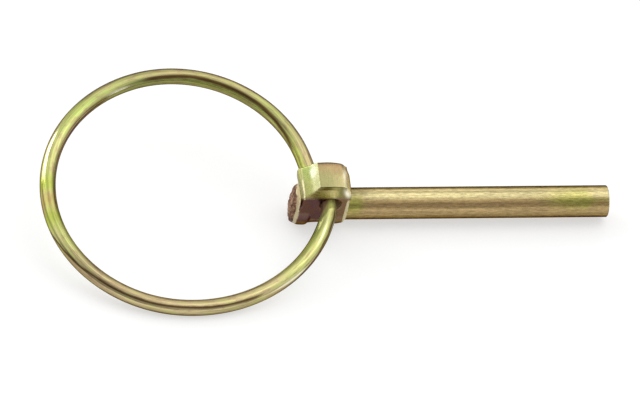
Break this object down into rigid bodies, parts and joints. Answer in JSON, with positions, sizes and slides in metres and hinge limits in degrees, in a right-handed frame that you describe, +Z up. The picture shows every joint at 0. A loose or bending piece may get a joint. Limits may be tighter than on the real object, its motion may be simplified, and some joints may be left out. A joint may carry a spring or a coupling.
{
  "type": "lynch pin",
  "caption": "Lynch pin: a forged steel pin whose block head carries a snap-over ring of round spring wire.",
  "frame": {"origin": "on the shank's axis, where the plain shank leaves the fillet under the head", "axes": "+X along the shank towards its tip, +Z up with the pin lying on the ground, rolled until the ring's near side is down"},
  "size_m": [0.1084, 0.0524, 0.0163],
  "materials": {
    "plated_forging": "yellow zinc plated forging, satin",
    "plated_wire": "yellow zinc plated spring wire, semi-gloss"
  },
  "bodies": {
    "pin_body": {"pin": "plated_forging"},
    "ring_body": {"spring_ring": "plated_wire"}
  },
  "joints": [
    {"name": "ring_swing", "type": "hinge", "parent": "pin_body", "child": "ring_body", "pos_m": [-0.0069, -0.00125, 0.00463], "axis": [0, 0.9653, 0.261], "range_deg": [-169, 180], "deforming": ["spring_ring"]}
  ]
}
